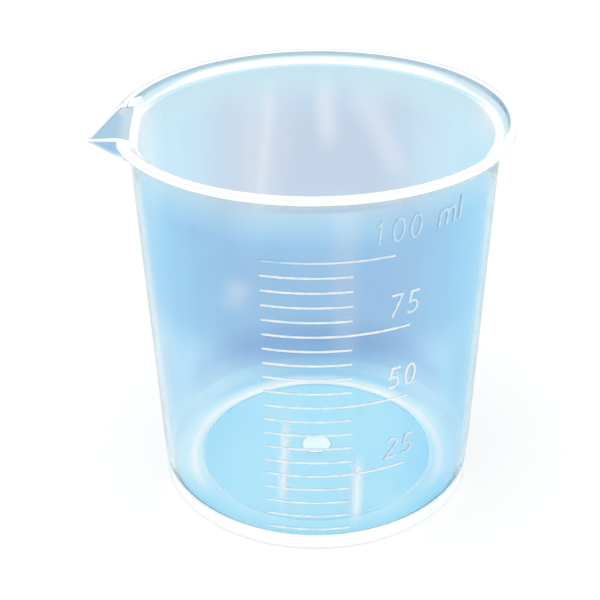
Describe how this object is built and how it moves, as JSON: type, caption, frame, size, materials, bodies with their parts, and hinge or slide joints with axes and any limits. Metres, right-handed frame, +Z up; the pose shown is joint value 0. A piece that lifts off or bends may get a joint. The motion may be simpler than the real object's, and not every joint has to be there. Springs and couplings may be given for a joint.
{
  "type": "resin mixing cup",
  "caption": "Clear tapered mixing cup with a flared rim, V-shaped pouring lip, foot ring and raised volume lines and numerals up the front.",
  "frame": {"origin": "on the cup's axis, in the plane of the foot ring's underside, which is the table", "axes": "+Z up along the cup's axis; -X towards the pouring lip, which is turned 4.5 degrees towards -Y; -Y is the side with the volume lines"},
  "size_m": [0.0635, 0.0594, 0.0614],
  "materials": {
    "clear_body": "clear, faintly blue polypropylene, glossy",
    "milky_rim": "clear polypropylene seen edge on, paler, glossy",
    "white_edge": "thick clear polypropylene that looks whitish, glossy",
    "raised_mark": "raised lines and numerals of the same polypropylene, which catch the light"
  },
  "bodies": {
    "root": {"cup_wall": "clear_body", "cup_floor": "clear_body", "rim_flare": "milky_rim", "pour_spout": "milky_rim", "rim_band": "white_edge", "foot_ring": "white_edge", "gate_mark": "white_edge", "line_5_ml": "raised_mark", "line_10_ml": "raised_mark", "line_15_ml": "raised_mark", "line_20_ml": "raised_mark", "line_25_ml": "raised_mark", "line_30_ml": "raised_mark", "line_35_ml": "raised_mark", "line_40_ml": "raised_mark", "line_45_ml": "raised_mark", "line_50_ml": "raised_mark", "line_55_ml": "raised_mark", "line_60_ml": "raised_mark", "line_65_ml": "raised_mark", "line_70_ml": "raised_mark", "line_75_ml": "raised_mark", "line_80_ml": "raised_mark", "line_85_ml": "raised_mark", "line_90_ml": "raised_mark", "line_95_ml": "raised_mark", "line_100_ml": "raised_mark", "numeral_25": "raised_mark", "numeral_50": "raised_mark", "numeral_75": "raised_mark", "numeral_100": "raised_mark", "unit_ml": "raised_mark"}
  },
  "joints": []
}
